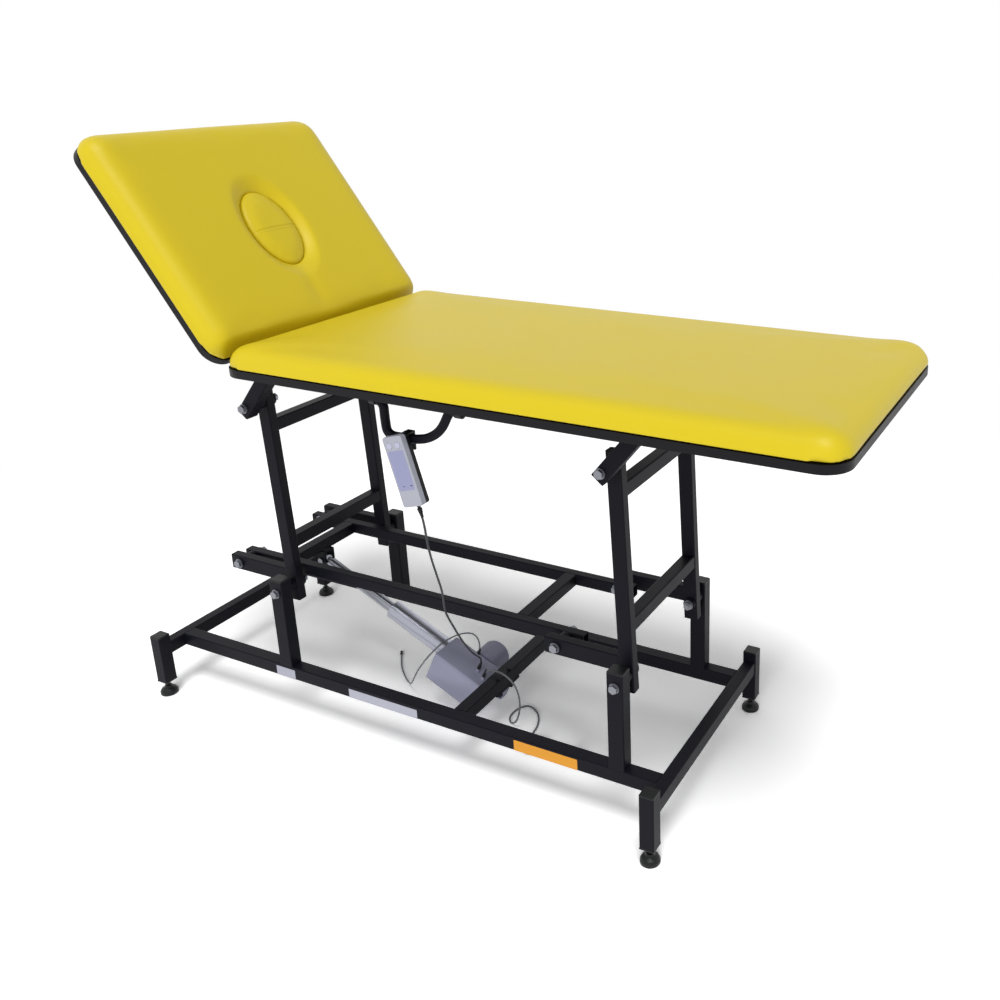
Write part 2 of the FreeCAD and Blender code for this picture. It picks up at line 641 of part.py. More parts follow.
# Local Z of the actuator points down when its line runs toward the head end, so the sign of the height is turned
housing = rounded_box(housing_start, outer_tail, housing_front_y, housing_rear_y, -housing_high, -housing_low,
                      8.0, V(1, 0, 0))
end_edges = [e for e in housing.Edges if e.BoundBox.XMax < housing_start + 0.01 or e.BoundBox.XMin > outer_tail - 0.01]
housing = housing.makeFillet(4.0, end_edges)
eye_y = 11.0
window_back = -actuator_pin_radius - pin_travel_back
window_front = actuator_pin_radius + pin_travel_front
window_up = -actuator_pin_radius - pin_travel_up
window_down = actuator_pin_radius + pin_travel_down
eye = rounded_box(window_back - eye_wall, housing_start + 6.0, -eye_y, eye_y, window_up - eye_wall,
                  window_down + eye_wall, 8.0, V(0, 1, 0))
housing = housing.fuse(eye)
window = rounded_box(window_back, window_front, -eye_y - 1, eye_y + 1, window_up, window_down, 4.5, V(0, 1, 0))
housing = housing.cut(window)
motor_s = 75.0
motor_n = 6.0
motor_axis = V(motor_s, housing_rear_y, motor_n)
nodes["actuator_housing"] = on_actuator(housing.removeSplitter())
motor = Part.makeCylinder(motor_radius, motor_end_y - housing_rear_y, motor_axis, V(0, 1, 0))
motor = motor.makeFillet(9.0, [e for e in motor.Edges if e.BoundBox.YMin > motor_end_y - 0.01])
nodes["actuator_motor"] = on_actuator(motor)

# Bracket under the crossbar with its bolts and the body pin
flange = box(crossbar_x - 17.5, crossbar_x + 17.5, -75.0, 25.0, base_tube_low - 6.0, base_tube_low)
cheek_solids = []
for y0, y1 in ((-19.0, -13.0), (13.0, 19.0)):
    corners = [V(crossbar_x - 17.5, y0, base_tube_low - 6.0), V(crossbar_x + 12.0, y0, base_tube_low - 6.0),
               V(body_pin.x + 8.0, y0, body_pin.z - 6.5), V(body_pin.x - 4.0, y0, body_pin.z - 8.0),
               V(body_pin.x - 9.0, y0, body_pin.z), V(body_pin.x - 6.0, y0, body_pin.z + 8.0)]
    cheek = Part.Face(Part.makePolygon(corners + [corners[0]])).extrude(V(0, y1 - y0, 0))
    cheek_solids.append(cheek.fuse(cylinder_y(body_pin.x, body_pin.z, 9.0, y0, y1)))
bracket = flange.multiFuse(cheek_solids)
bracket = bracket.fuse(cylinder_y(body_pin.x, body_pin.z, actuator_pin_radius, -22.0, 22.0))
for y in bracket_bolt_ys:
    bracket = bracket.cut(Part.makeCylinder(4.0 + running_fit, 10.0, V(bracket_bolt_x, y, base_tube_low - 8.0)))
bracket_group = [bracket.removeSplitter()]
for y in bracket_bolt_ys:
    shank = Part.makeCylinder(4.0, base_tube + 16.0, V(bracket_bolt_x, y, base_tube_low - 16.0))
    turn = FreeCAD.Vector(1, 0, 0)
    head = hex_y(0, 0, 13.0, 0, 5.3)
    head.rotate(V(0, 0, 0), turn, 90.0)
    head.translate(V(bracket_bolt_x, y, base_tube_top))
    nut = hex_y(0, 0, 13.0, 0, 6.5)
    nut.rotate(V(0, 0, 0), turn, 90.0)
    nut.translate(V(bracket_bolt_x, y, base_tube_low - 6.0 - 6.5))
    bracket_group.append(shank.fuse(head).fuse(nut).removeSplitter())
nodes["actuator_bracket"] = Part.makeCompound(bracket_group)

# Release loop under the near edge of the seat, its two stubs turn in clips under the board
stub = 34.0
loop_points = [V(loop_left_x - stub, loop_y, loop_axis_z), V(loop_left_x, loop_y, loop_axis_z),
               V(loop_left_x, loop_y, loop_low_z), V(38.0, loop_y, loop_low_z),
               V(loop_right_x, loop_y, loop_axis_z), V(loop_right_x + stub, loop_y, loop_axis_z)]
nodes["release_loop"] = routed_bar(loop_points, loop_radius, 34.0)
clips = []
for x0 in (loop_left_x - stub, loop_right_x + stub - 15.0):
    clip = box(x0, x0 + 15.0, loop_y - 17.0, loop_y + 17.0, board_low - 4.0, board_low)
    clip = clip.fuse(Part.makeCylinder(board_low - loop_axis_z, 15.0, V(x0, loop_y, loop_axis_z), V(1, 0, 0)))
    clips.append(clip.cut(Part.makeCylinder(loop_radius + running_fit, 17.0, V(x0 - 1, loop_y, loop_axis_z), V(1, 0, 0))))
nodes["release_loop_clips"] = Part.makeCompound([c.removeSplitter() for c in clips])

# Hand control, built upright and then leaned: light front shell, black back shell with a hook over the loop
front_depth = 14.0
hand_y0 = loop_y - loop_radius - 3.0 - hand_depth


def leaned(shape):
    moved = shape.copy()
    moved.rotate(V(0, 0, 0), V(0, -1, 0), hand_tilt)
    moved.translate(V(hand_top_x, 0, hand_top_z))
    return moved


half_hand = hand_width / 2
front = rounded_box(-half_hand, half_hand, hand_y0, hand_y0 + front_depth, -hand_length, 0, 6.0, V(0, 1, 0))
near_edges = [e for e in front.Edges if e.BoundBox.YMax < hand_y0 + 0.01]
front = front.makeFillet(2.0, near_edges)
back = rounded_box(-half_hand, half_hand, hand_y0 + front_depth, hand_y0 + hand_depth, -hand_length, 0, 6.0, V(0, 1, 0))
button_zs = ((-11.0, -20.0), (11.0, -20.0))
button_radius = 6.5
button_travel = 1.2
for name, (bx, bz) in zip(("up", "down"), button_zs):
    well = cylinder_y(bx, bz, button_radius + 0.25, hand_y0 - 1, hand_y0 + 6.0)
    front = front.cut(well)
    button = cylinder_y(bx, bz, button_radius, hand_y0 - 1.5, hand_y0 + 4.0)
    button = button.makeFillet(1.0, [e for e in button.Edges if e.BoundBox.YMax < hand_y0 - 1.49])
    nodes["button_" + name] = leaned(button)
nodes["hand_control_front"] = leaned(front)
hand_mid_y = hand_y0 + hand_depth / 2
gland = Part.makeCone(3.0, 5.0, 10.0, V(0, hand_mid_y + 4.0, -hand_length - 10.0), V(0, 0, 1))
back = leaned(back.fuse(gland))
hook_x = hand_top_x + 12.0
hook_y = hand_y0 + hand_depth - 1.0
hook_low = loop_low_z + loop_radius + 0.3
hook = box(hook_x - 9.0, hook_x + 9.0, hook_y, loop_y + loop_radius + 5.0, hook_low, hook_low + 4.0)
hook = hook.fuse(box(hook_x - 9.0, hook_x + 9.0, loop_y + loop_radius + 1.0, loop_y + loop_radius + 5.0,
                     hook_low - 16.0, hook_low + 4.0))
hook = hook.fuse(box(hook_x - 9.0, hook_x + 9.0, hook_y, hook_y + 3.0, hook_low - 14.0, hook_low + 4.0))
nodes["hand_control_back"] = back.fuse(hook).removeSplitter()

# Cord of the hand control, from its gland down to the gland on the top of the actuator housing
lean = math.radians(hand_tilt)
cord_y = hand_mid_y + 4.0
exit_drop = hand_length + 10.0
cord_start = V(hand_top_x + exit_drop * math.sin(lean), cord_y, hand_top_z - exit_drop * math.cos(lean))
exit_way = V(math.sin(lean), 0, -math.cos(lean))
line_way = V(actuator_line.x, 0, actuator_line.z)
line_way.normalize()
top_way = V(line_way.z, 0, -line_way.x)


def housing_top(along, across):
    return body_pin.add(line_way * along).add(top_way * housing_high).add(V(0, across, 0))


gland_height = 12.0
hand_gland = housing_top(61.0, -28.0)
mains_gland = housing_top(36.0, -40.0)
lead_gland = housing_top(92.0, 12.0)
glands = []
for place, radius in ((hand_gland, 5.0), (mains_gland, 4.5), (lead_gland, 4.0)):
    glands.append(Part.makeCylinder(radius, gland_height + 2.0, place.sub(top_way * 2.0), top_way))
nodes["actuator_housing"] = nodes["actuator_housing"].multiFuse(glands).removeSplitter()
hand_end = hand_gland.add(top_way * gland_height)
hand_route = [cord_start, cord_start.add(exit_way * 30.0), V(29.0, -314.0, 652.0), V(24.0, -298.0, 600.0),
              V(15.0, -273.0, 546.0), V(4.0, -247.0, 494.0), V(-9.0, -229.0, 455.0), V(-17.0, -217.0, 420.0),
              V(-17.0, -196.0, 378.0), V(-23.0, -166.0, 328.0), V(-33.0, -131.0, 280.0), V(-44.0, -94.0, 236.0),
              V(-54.0, -58.0, 202.0), hand_end.add(top_way * 32.0), hand_end]
nodes["hand_control_cord"] = routed_bar(hand_route, hand_cord_diameter / 2)

# Mains cord over the crossbar to the floor, then a loop and the wound length with its plug behind the near rail
mains_end = mains_gland.add(top_way * gland_height)
floor_z = mains_diameter / 2 + 0.1
mains_route = [mains_end, mains_end.add(top_way * 22.0), V(-27.0, -41.0, 161.0), V(6.0, -43.0, 161.0),
               V(38.0, -45.0, 146.0), V(55.0, -47.0, 115.0), V(56.0, -46.0, 80.0), V(46.0, -42.0, 44.0),
               V(29.0, -34.0, 14.0), V(6.0, -24.0, floor_z), V(-10.0, -2.0, floor_z), V(-10.0, 32.0, floor_z),
               V(6.0, 60.0, floor_z), V(36.0, 52.0, floor_z), V(62.0, 28.0, floor_z), V(78.0, -4.0, floor_z),
               V(coil_entry_x, -34.0, floor_z)]
coil_x = coil_entry_x + coil_radius - mains_diameter / 2
entry_side = math.sqrt(coil_radius ** 2 - (coil_radius - mains_diameter) ** 2)
mains_route.append(V(coil_entry_x, coil_y + entry_side + 0.5, floor_z))
nodes["mains_cord"] = routed_bar(mains_route, mains_diameter / 2)
coil = Part.makeCylinder(coil_radius, coil_height, V(coil_x, coil_y, 0))
coil = coil.cut(Part.makeCylinder(coil_radius - coil_section, coil_height + 2.0, V(coil_x, coil_y, -1.0)))
coil = coil.makeFillet(4.0, [e for e in coil.Edges if e.BoundBox.ZMin > coil_height - 0.1])
nodes["mains_coil"] = coil
sleeve_x = coil_x + coil_radius + plug_tail
plug_x = sleeve_x + plug_sleeve
tail_start = V(coil_x + coil_radius + 0.4, coil_y, 11.0)
tail = routed_bar([tail_start, V(sleeve_x + 2.0, coil_y, 6.0)], mains_diameter / 2)
mains_plug = rounded_box(plug_x, plug_x + 36.0, coil_y - 16.0, coil_y + 16.0, 0.0, 22.0, 6.0, V(1, 0, 0))
mains_plug = mains_plug.fuse(Part.makeCone(3.2, 5.5, plug_sleeve + 2.0, V(sleeve_x, coil_y, 6.0), V(1, 0, 0)))
mains_plug = mains_plug.fuse(tail)
for y in (-9.5, 9.5):
    mains_plug = mains_plug.fuse(Part.makeCylinder(2.4, 19.0, V(plug_x + 36.0, coil_y + y, 11.0), V(1, 0, 0)))
nodes["mains_plug"] = mains_plug.removeSplitter()

# Short lead that leaves the housing, passes over its edge and lies on the floor with a free connector
lead_end = lead_gland.add(top_way * gland_height)
lead_z = lead_diameter / 2 + 0.1
connector_radius = 3.6
connector_z = connector_radius + 0.1
lead_route = [lead_end, lead_end.add(top_way * 18.0), V(-118.0, 31.0, 192.0), V(-142.0, 32.0, 200.0),
              V(-164.0, 4.0, 203.0), V(-182.0, -34.0, 197.0), V(-203.0, -64.0, 172.0), V(-232.0, -72.0, 132.0),
              V(-263.0, -60.0, 88.0), V(-294.0, -36.0, 47.0), V(-324.0, -10.0, 16.0), V(-358.0, 16.0, lead_z),
              V(-396.0, 44.0, lead_z), V(-430.0, 78.0, lead_z), V(-456.0, 112.0, connector_z)]
lead = routed_bar(lead_route, lead_diameter / 2)
last_way = lead_route[-1].sub(lead_route[-2])
last_way.normalize()
connector = Part.makeCylinder(connector_radius, 16.0, lead_route[-1].sub(last_way * 0.5), last_way)
nodes["spare_lead"] = lead.fuse(connector).removeSplitter()

os.makedirs("parts", exist_ok=True)
for name, shape in nodes.items():
    shape.exportStep("parts/" + name + ".step")
print(len(nodes), "nodes")
for name, shape in nodes.items():
    if not shape.isValid():
        print("not valid", name)
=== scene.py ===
import json
import math

import bmesh
import bpy
import numpy as np
from mathutils import Matrix, Vector


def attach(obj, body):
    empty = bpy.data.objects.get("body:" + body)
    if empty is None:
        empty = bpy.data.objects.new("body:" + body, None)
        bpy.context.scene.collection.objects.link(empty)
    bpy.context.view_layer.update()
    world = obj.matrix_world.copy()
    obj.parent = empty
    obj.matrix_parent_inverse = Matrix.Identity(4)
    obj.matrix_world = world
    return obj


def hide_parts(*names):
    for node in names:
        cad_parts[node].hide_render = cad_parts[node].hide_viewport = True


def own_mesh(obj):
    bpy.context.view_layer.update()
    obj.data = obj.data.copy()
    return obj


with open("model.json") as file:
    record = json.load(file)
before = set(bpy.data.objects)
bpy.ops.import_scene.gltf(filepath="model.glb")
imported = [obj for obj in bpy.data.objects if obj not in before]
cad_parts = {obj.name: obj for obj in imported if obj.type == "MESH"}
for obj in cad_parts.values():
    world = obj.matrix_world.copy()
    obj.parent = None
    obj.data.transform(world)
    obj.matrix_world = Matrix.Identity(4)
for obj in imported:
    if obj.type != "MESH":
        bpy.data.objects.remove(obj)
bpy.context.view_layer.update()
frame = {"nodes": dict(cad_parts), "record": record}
nodes = frame["nodes"]
mm = 0.001


def note(words):
    print("stage:", words)


def linear(hexText, alpha=1.0):
    values = [int(hexText[i:i + 2], 16) / 255 for i in (1, 3, 5)]
    out = [v / 12.92 if v <= 0.04045 else ((v + 0.055) / 1.055) ** 2.4 for v in values]
    return (out[0], out[1], out[2], alpha)


def place(point):
    return Vector(point) * mm


def link(name, data):
    made = bpy.data.objects.new(name, data)
    bpy.context.scene.collection.objects.link(made)
    return made


# Camera at the photograph's viewpoint

camera = {
    "place": (1.331324, -1.870056, 1.61806),
    "right": (0.90150315, 0.43271528, -0.00703951),
    "up": (-0.13042923, 0.28716934, 0.94895837),
    "forward": (-0.41265031, 0.8545708, -0.31532279),
    "lens": 36.7053,
    "shift": (-0.158894, -0.098743),
}


def makeCamera():
    data = bpy.data.cameras.new("camera")
    data.sensor_fit = "HORIZONTAL"
    data.sensor_width = 36.0
    data.lens = camera["lens"]
    data.shift_x, data.shift_y = camera["shift"]
    data.clip_start = 0.05
    data.clip_end = 60.0
    made = link("camera", data)
    r, u, f = (Vector(camera[k]) for k in ("right", "up", "forward"))
    made.matrix_world = Matrix((
        (r.x, u.x, -f.x, camera["place"][0]),
        (r.y, u.y, -f.y, camera["place"][1]),
        (r.z, u.z, -f.z, camera["place"][2]),
        (0, 0, 0, 1),
    ))
    bpy.context.scene.camera = made


makeCamera()
note("camera")


# Materials

def addNode(tree, kind, settings=None, **values):
    node = tree.nodes.new(kind)
    for name, value in (settings or {}).items():
        setattr(node, name, value)
    for name, value in values.items():
        socket = node.inputs[name.replace("_", " ")]
        if isinstance(value, bpy.types.NodeSocket):
            tree.links.new(value, socket)
        else:
            socket.default_value = value
    return node


def surface(name, colour, roughness, metallic=0.0, grain=None, mottle=0.92, **extra):
    material = bpy.data.materials.new(name)
    material.use_nodes = True
    tree = material.node_tree
    shader = tree.nodes["Principled BSDF"]
    shader.inputs["Metallic"].default_value = metallic
    for key, value in extra.items():
        shader.inputs[key.replace("_", " ")].default_value = value
    where = addNode(tree, "ShaderNodeTexCoord")
    cloud = addNode(tree, "ShaderNodeTexNoise", Vector=where.outputs["Object"], Scale=14.0, Detail=4.0)
    tint = addNode(tree, "ShaderNodeMix", {"data_type": "RGBA"})
    full = linear(colour)
    tint.inputs[6].default_value = (full[0] * mottle, full[1] * mottle, full[2] * mottle, 1.0)
    tint.inputs[7].default_value = full
    tree.links.new(cloud.outputs["Fac"], tint.inputs[0])
    tree.links.new(tint.outputs[2], shader.inputs["Base Color"])
    spread = addNode(tree, "ShaderNodeMapRange", Value=cloud.outputs["Fac"],
                     To_Min=roughness - 0.05, To_Max=roughness + 0.05)
    tree.links.new(spread.outputs["Result"], shader.inputs["Roughness"])
    if grain:
        size, height, kind = grain
        if kind == "cells":
            texture = addNode(tree, "ShaderNodeTexVoronoi", {"feature": "DISTANCE_TO_EDGE"},
                              Vector=where.outputs["Object"], Scale=1.0 / (size * mm))
            soft = addNode(tree, "ShaderNodeMapRange", Value=texture.outputs["Distance"], From_Max=0.25)
            value = soft.outputs["Result"]
        else:
            texture = addNode(tree, "ShaderNodeTexNoise", Vector=where.outputs["Object"],
                              Scale=1.0 / (size * mm), Detail=2.0)
            value = texture.outputs["Fac"]
        bump = addNode(tree, "ShaderNodeBump", Height=value, Distance=height * mm, Strength=1.0)
        tree.links.new(bump.outputs["Normal"], shader.inputs["Normal"])
    return material


# Grain is size and height in millimetres, then its kind.
# "Drawn coarser" marks one that is finer on the real surface and is enlarged so that it shows.

powderCoat = surface(  # powder baked on steel tube: near black and dull, with a faint orange peel
    "powderCoatNavy", "#101018", 0.45, grain=(2.2, 0.05, "noise"), Specular_IOR_Level=0.1)
vinylYellow = surface(  # embossed coated fabric: a soft sheen broken up by small cells
    "coatedFabricYellow", "#d2bc1c", 0.4, grain=(1.1, 0.03, "cells"), mottle=0.97, Specular_IOR_Level=0.3)
vinylBlack = surface(  # the same fabric in black over the boards: the sheen shows at their edges alone
    "coatedFabricBlack", "#0c0a0f", 0.42, grain=(1.1, 0.04, "cells"), Specular_IOR_Level=0.2)
zincPlate = surface(  # zinc plated steel: pale metal, slightly clouded, drawn coarser
    "zincPlatedSteel", "#8d8f96", 0.42, 1.0, grain=(0.8, 0.005, "noise"))
drawnAluminium = surface(  # drawn tube: satin metal with a wide soft reflection, drawn coarser
    "drawnAluminium", "#b4b6c2", 0.36, 1.0, grain=(0.9, 0.002, "noise"))
groundSteel = surface("groundSteelRod", "#a2a4ac", 0.3, 1.0)  # ground rod: the sharpest reflection on the table
housingPlastic = surface(  # moulded with an eroded texture: light grey with no sharp reflection, drawn coarser
    "texturedPlasticLightGrey", "#8f90a6", 0.5, grain=(0.7, 0.05, "noise"))
motorPlasticShaded = surface(  # the same moulding, painted a shade darker as painted shade where the motor lies behind the housing under the middle frame
    "texturedPlasticGrey", "#7c7c92", 0.5, grain=(0.7, 0.05, "noise"))
blackPlastic = surface(  # moulded caps, pads and sleeves: semi-matt black, drawn coarser
    "mouldedPlasticBlack", "#0d0e10", 0.42, grain=(0.8, 0.04, "noise"), Specular_IOR_Level=0.3)
greyPlastic = surface(  # moulded shells of the hand control: semi-matt pale grey, drawn coarser
    "mouldedPlasticPaleGrey", "#a6a8b4", 0.42, grain=(0.5, 0.03, "noise"))
buttonPlastic = surface(  # moulded keys: a little smoother than the shell round them, drawn coarser
    "mouldedButtonPlastic", "#b4b6cc", 0.38, grain=(0.5, 0.03, "noise"))
panelFilm = surface("printedFilmLilacGrey", "#8f92b4", 0.34)  # printed film: flat, even and slightly glossy
lensPlastic = surface("smokedLensPlastic", "#4c4d60", 0.25)  # polished small lens: dark with a clear glint
sheathDark = surface("cordSheathDarkGrey", "#2b2c31", 0.5)  # extruded soft sheath: matt, with one broad highlight
sheathGrey = surface("cordSheathGrey", "#606166", 0.5)  # the same sheath in mid grey
plateSilver = surface(  # anodised plate: even satin grey, drawn coarser
    "anodisedLabelPlate", "#a9abb8", 0.35, grain=(0.8, 0.01, "noise"))
plateOrange = surface("vinylLabelOrange", "#d9920c", 0.4)  # calendered vinyl label: even colour, slight sheen
plateWhite = surface("vinylLabelPale", "#a4a5b3", 0.4)  # the same label in pale grey
stitchThread = surface(  # twisted polyester thread: matt and fibrous, drawn coarser
    "polyesterThreadYellow", "#b8a420", 0.7, grain=(0.3, 0.05, "noise"))

slotMaterials = {
    "frame_paint": powderCoat,
    "zinc": zincPlate,
    "tube_aluminium": drawnAluminium,
    "rod_steel": groundSteel,
    "housing_grey": housingPlastic,
    "motor_grey": motorPlasticShaded,
    "black_plastic": blackPlastic,
    "grey_plastic": greyPlastic,
    "button_plastic": buttonPlastic,
    "upholstery": vinylYellow,
    "board": vinylBlack,
    "cord_black": sheathDark,
    "cord_grey": sheathGrey,
}
for part in frame["record"]["subparts"]:
    node = nodes.get(part["node"])
    if node is None:
        continue
    for nodeSlot in node.material_slots:
        nodeSlot.material = slotMaterials[part["material_slot"]]
note("materials")


# Cords


def cordCurve(name, points, diameter, material):
    data = bpy.data.curves.new(name, "CURVE")
    data.dimensions = "3D"
    data.bevel_depth = diameter / 2
    data.bevel_resolution = 4
    data.resolution_u = 6
    data.use_fill_caps = True
    spline = data.splines.new("NURBS")
    spline.points.add(len(points) - 1)
    for point, spot in zip(spline.points, points):
        point.co = (spot.x, spot.y, spot.z, 1.0)
    spline.order_u = 3
    spline.use_endpoint_u = True
    data.materials.append(material)
    return link(name, data)


def tubeAndPath(curve):  # the finished tube, and the points of its middle line
    thick = curve.data.bevel_depth
    curve.data.bevel_depth = 0.0
    bpy.context.view_layer.update()
    graph = bpy.context.evaluated_depsgraph_get()
    bare = bpy.data.meshes.new_from_object(curve.evaluated_get(graph))
    curve.data.bevel_depth = thick
    bpy.context.view_layer.update()
    graph = bpy.context.evaluated_depsgraph_get()
    mesh = bpy.data.meshes.new_from_object(curve.evaluated_get(graph))
    line = [tuple(v.co) for v in bare.vertices]
    name = curve.name
    bpy.data.objects.remove(curve)
    bpy.data.meshes.remove(bare)
    for face in mesh.polygons:
        face.use_smooth = True
    return link(name, mesh), line


def turned(profile, material, name, origin, way, steps=40):
    mesh = bpy.data.meshes.new(name)
    build = bmesh.new()
    rings = []
    for along, radius in profile:
        ring = []
        for k in range(steps):
            angle = 2 * math.pi * k / steps
            spot = (radius * mm * math.cos(angle), radius * mm * math.sin(angle), along * mm)
            ring.append(build.verts.new(spot))
        rings.append(ring)
    for low, high in zip(rings[:-1], rings[1:]):
        for k in range(steps):
            build.faces.new((low[k], low[(k + 1) % steps], high[(k + 1) % steps], high[k]))
    build.faces.new(list(reversed(rings[0])))
    build.faces.new(rings[-1])
    bmesh.ops.recalc_face_normals(build, faces=build.faces)
    turn = Vector((0, 0, 1)).rotation_difference(Vector(way)).to_matrix().to_4x4()
    build.transform(Matrix.Translation(place(origin)) @ turn)
    build.to_mesh(mesh)
    build.free()
    for face in mesh.polygons:
        face.use_smooth = len(face.vertices) == 4
    mesh.materials.append(material)
    return link(name, mesh)


def sleeveProfile(length, wide, narrow, ribs):
    profile = [(-1.0, wide - 0.4), (0.0, wide), (2.5, wide)]
    for k in range(ribs):
        a = 3.5 + (length - 6.0) * k / ribs
        b = 3.5 + (length - 6.0) * (k + 0.55) / ribs
        radius = wide + (narrow - wide) * (k + 0.5) / ribs
        profile += [(a, radius - 0.7), (a + 0.5, radius), (b, radius), (b + 0.4, radius - 0.7)]
    profile += [(length - 1.0, narrow), (length, narrow - 0.3)]
    return profile


handLean = math.radians(16.0)
handTop = (-20.5, 892.0)  # x and z of the point that the hand control leans about
handLong = 165.0  # from there to the cord's way out
handExit = (handTop[0] + handLong * math.sin(handLean), -323.5, handTop[1] - handLong * math.cos(handLean))
handWay = (math.sin(handLean), 0.0, -math.cos(handLean))
topWay = (0.424, 0.0, 0.9057)
handCord = {
    "diameter": 5.0,
    "points": [
        handExit,
        (handExit[0] + 30 * handWay[0], handExit[1], handExit[2] + 30 * handWay[2]),
        (29, -314, 652), (24, -298, 600), (15, -273, 546), (4, -247, 494), (-9, -229, 455), (-17, -217, 420),
        (-17, -196, 378), (-23, -166, 328), (-33, -131, 280), (-44, -94, 236), (-54, -58, 202),
        (-64.38, -28, 172.38), (-77.94, -28, 143.4),
    ],
}
mainsCord = {
    "diameter": 5.0,
    "points": [
        (-55.3, -40, 132.8), (-45.97, -40, 152.73), (-27, -41, 161), (6, -43, 161), (38, -45, 146),
        (55, -47, 115), (56, -46, 80), (46, -42, 44), (29, -34, 14), (6, -24, 2.6), (-10, -2, 2.6),
        (-10, 32, 2.6), (6, 60, 2.6), (36, 52, 2.6), (62, 28, 2.6), (78, -4, 2.6), (83.5, -34, 2.6),
        (83.8, -56, 2.7), (84.4, -68, 3.0),
    ],
    "centre": (114.5, -81.0),
    "radii": (30.2, 25.0, 19.8),
    "layers": (3.2, 8.4, 13.6),
    "firstAngle": 170.0,
    "turns": 8.22,
    "perTurn": 16,
    "over": [(1, -20.3, 15.4), (9, -19.6, 18.8), (18, -17.5, 19.0), (28, -13, 18.6), (37, -8.5, 13.8),
             (46, -3.5, 8.8), (55, -0.4, 6.3), (63, 0, 6.0)],
}
spareLead = {
    "diameter": 4.0,
    "points": [
        (-106.02, 12, 156.54), (-98.39, 12, 172.84), (-118, 31, 192), (-142, 32, 200), (-164, 4, 203),
        (-182, -34, 197), (-203, -64, 172), (-232, -72, 132), (-263, -60, 88), (-294, -36, 47),
        (-324, -10, 16),
        (-358, 16, 2.1), (-396, 44, 2.1), (-430, 78, 2.1), (-456, 112, 3.7),
    ],
}


def eased(value, low, high):
    t = min(1.0, max(0.0, (value - low) / (high - low)))
    return t * t * (3 - 2 * t)


def coilPoints(wound):
    outer, middle, inner = wound["radii"]
    low, mid, high = wound["layers"]
    rows = [(outer, low), (middle, low), (inner, low), (inner, mid), (middle, mid), (outer, mid),
            (outer, high), (middle, high), (inner, high)]
    made = []
    count = wound["perTurn"]
    for step in range(1, int(wound["turns"] * count) + 1):
        turn, part = step // count, (step % count) / count
        here, after = rows[turn], rows[min(turn + 1, len(rows) - 1)]
        radius = here[0] + (after[0] - here[0]) * eased(part, 0.3, 0.65)
        height = here[1] + (after[1] - here[1]) * eased(part, 0.65, 1.0)
        angle = math.radians(wound["firstAngle"] + 360.0 * (turn + part))
        reach = radius / math.cos(math.pi / count)
        centreX, centreY = wound["centre"]
        made.append((centreX + reach * math.cos(angle), centreY + reach * math.sin(angle), height))
    return made


def makeSleeve(name, origin, way, body, length, wide, narrow, ribs):
    sleeve = turned(sleeveProfile(length, wide, narrow, ribs), blackPlastic, name, origin, way)
    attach(sleeve, body)
    return sleeve


mainsPlug = {
    "sleeve": [(0.0, 3.0), (1.0, 3.3), (26.0, 5.0), (28.0, 5.4)],
    "outline": [(27.0, 6.5, 5.5), (30.0, 11.0, 8.5), (36.0, 14.0, 10.2), (46.0, 15.6, 10.8), (58.0, 15.8, 10.8),
                (62.5, 15.2, 10.4), (64.0, 14.2, 9.6)],  # along, half width, half height
    "pin": [(0.0, 2.4), (17.0, 2.4), (18.4, 1.9), (19.0, 1.0)],
    "pinSide": 9.5,
    "sides": 48,
    "squareness": 0.6,  # 1 gives an ellipse, less a squarer outline
}


def makePlug(startX, centreY):
    pieces = [turned(mainsPlug["sleeve"], blackPlastic, "plugSleeve", (startX, centreY, 6.0), (1, 0, 0))]
    sides, power = mainsPlug["sides"], mainsPlug["squareness"]
    build = bmesh.new()
    rings = []
    for along, half, tall in mainsPlug["outline"]:
        ring = []
        for k in range(sides):
            angle = 2 * math.pi * k / sides
            c, s = math.cos(angle), math.sin(angle)
            y = half * math.copysign(abs(c) ** power, c)
            z = tall * math.copysign(abs(s) ** power, s)
            middle = 11.0 if along > 30 else 7.0 + (along - 27.0) * 1.3
            ring.append(build.verts.new(((startX + along) * mm, (centreY + y) * mm, (middle + z) * mm)))
        rings.append(ring)
    for low, high in zip(rings[:-1], rings[1:]):
        for k in range(sides):
            build.faces.new((low[k], high[k], high[(k + 1) % sides], low[(k + 1) % sides]))
    build.faces.new(rings[0])
    build.faces.new(list(reversed(rings[-1])))
    bmesh.ops.recalc_face_normals(build, faces=build.faces)
    mesh = bpy.data.meshes.new("plugBody")
    build.to_mesh(mesh)
    build.free()
    for face in mesh.polygons:
        face.use_smooth = len(face.vertices) == 4
    mesh.materials.append(blackPlastic)
    pieces.append(link("plugBody", mesh))
    for name, side in (("plugPinNear", -mainsPlug["pinSide"]), ("plugPinFar", mainsPlug["pinSide"])):
        spot = (startX + mainsPlug["outline"][-1][0], centreY + side, 11.0)
        pieces.append(turned(mainsPlug["pin"], zincPlate, name, spot, (1, 0, 0)))
    return pieces


